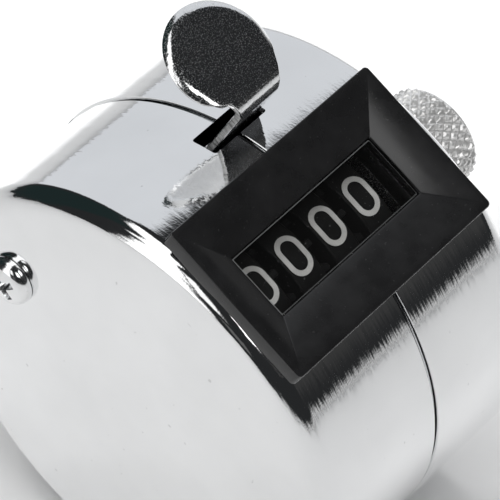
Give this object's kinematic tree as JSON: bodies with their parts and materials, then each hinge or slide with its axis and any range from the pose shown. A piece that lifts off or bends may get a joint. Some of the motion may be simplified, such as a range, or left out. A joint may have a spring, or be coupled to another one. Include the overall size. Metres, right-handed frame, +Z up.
{
  "type": "hand tally counter",
  "caption": "Chromed drum-shaped hand tally counter with a number window in a black bezel, folded thumb lever, knurled reset knob and finger ring.",
  "frame": {"origin": "middle of the base of the bounding box, on the table the counter lies on", "axes": "+X along the number wheels towards the reset knob, +Y towards the finger ring, +Z up; the counter lies on its drum and finger ring with its window facing 30 degrees off the vertical, towards -Y"},
  "size_m": [0.0378, 0.0676, 0.0555],
  "materials": {
    "chrome": "polished chrome plating",
    "nickel": "knurled, nickel plated",
    "steel": "plain zinc-bright steel",
    "brass": "machined",
    "black_plastic": "smooth moulded",
    "wheel_black": "satin moulded, light digits",
    "nylon": "satin moulded",
    "clear_plastic": "clear, polished"
  },
  "bodies": {
    "case": {"left_shell": "chrome", "right_shell": "chrome", "shaft_bush": "brass", "bezel": "black_plastic", "window_lens": "clear_plastic", "left_plate": "steel", "right_plate": "steel", "tie_post_upper": "steel", "tie_post_lower": "steel", "tie_post_rear": "steel", "screw_post_top": "brass", "screw_post_bottom": "brass", "case_screw_top": "chrome", "case_screw_bottom": "chrome", "pinion_shaft": "steel", "lever_pivot_pin": "steel", "lever_pivot_clip": "steel", "detent_spring": "steel", "lever_spring": "steel", "ring_saddle": "chrome", "finger_ring": "chrome", "ring_rivet_front": "chrome", "ring_rivet_rear": "chrome"},
    "units": {"wheel_units": "wheel_black", "ratchet_wheel": "brass"},
    "tens": {"wheel_tens": "wheel_black"},
    "hundreds": {"wheel_hundreds": "wheel_black"},
    "thousands": {"wheel_thousands": "wheel_black"},
    "carry_tens": {"transfer_pinion_tens": "nylon"},
    "carry_hundreds": {"transfer_pinion_hundreds": "nylon"},
    "carry_thousands": {"transfer_pinion_thousands": "nylon"},
    "reset": {"reset_shaft": "steel", "reset_knob": "nickel", "knob_set_screw": "steel"},
    "lever": {"thumb_lever": "chrome", "pawl_rivet": "steel"},
    "pawl": {"drive_pawl": "steel"}
  },
  "joints": [
    {"name": "lever_press", "type": "hinge", "parent": "case", "child": "lever", "pos_m": [-0.00303, -0.02775, 0.03092], "axis": [-1, 0, 0], "range_deg": [0, 8], "stiffness_Nm_per_rad": 0.3, "springref_deg": -14.32},
    {"name": "pawl_lift", "type": "hinge", "parent": "lever", "child": "pawl", "pos_m": [-0.00303, -0.01206, 0.03894], "axis": [1, 0, 0], "range_deg": [0, 10], "stiffness_Nm_per_rad": 0.0005, "springref_deg": -11.46},
    {"name": "units_turn", "type": "hinge", "parent": "case", "child": "units", "pos_m": [-0.00303, -0.01679, 0.03194], "axis": [-1, 0, 0], "continuous": true},
    {"name": "tens_turn", "type": "hinge", "parent": "case", "child": "tens", "pos_m": [-0.00303, -0.01679, 0.03194], "axis": [-1, 0, 0], "continuous": true},
    {"name": "hundreds_turn", "type": "hinge", "parent": "case", "child": "hundreds", "pos_m": [-0.00303, -0.01679, 0.03194], "axis": [-1, 0, 0], "continuous": true},
    {"name": "thousands_turn", "type": "hinge", "parent": "case", "child": "thousands", "pos_m": [-0.00303, -0.01679, 0.03194], "axis": [-1, 0, 0], "continuous": true},
    {"name": "carry_tens_turn", "type": "hinge", "parent": "case", "child": "carry_tens", "pos_m": [-0.00303, -0.01133, 0.02248], "axis": [-1, 0, 0], "continuous": true},
    {"name": "carry_hundreds_turn", "type": "hinge", "parent": "case", "child": "carry_hundreds", "pos_m": [-0.00303, -0.01133, 0.02248], "axis": [-1, 0, 0], "continuous": true},
    {"name": "carry_thousands_turn", "type": "hinge", "parent": "case", "child": "carry_thousands", "pos_m": [-0.00303, -0.01133, 0.02248], "axis": [-1, 0, 0], "continuous": true},
    {"name": "reset_turn", "type": "hinge", "parent": "case", "child": "reset", "pos_m": [-0.00303, -0.01679, 0.03194], "axis": [-1, 0, 0], "continuous": true}
  ],
  "couplings": [
    {"joint": "tens_turn", "follows": "units_turn", "ratio": 0.1},
    {"joint": "hundreds_turn", "follows": "units_turn", "ratio": 0.01},
    {"joint": "thousands_turn", "follows": "units_turn", "ratio": 0.001},
    {"joint": "carry_tens_turn", "follows": "units_turn", "ratio": -0.25},
    {"joint": "carry_hundreds_turn", "follows": "units_turn", "ratio": -0.025},
    {"joint": "carry_thousands_turn", "follows": "units_turn", "ratio": -0.0025}
  ]
}
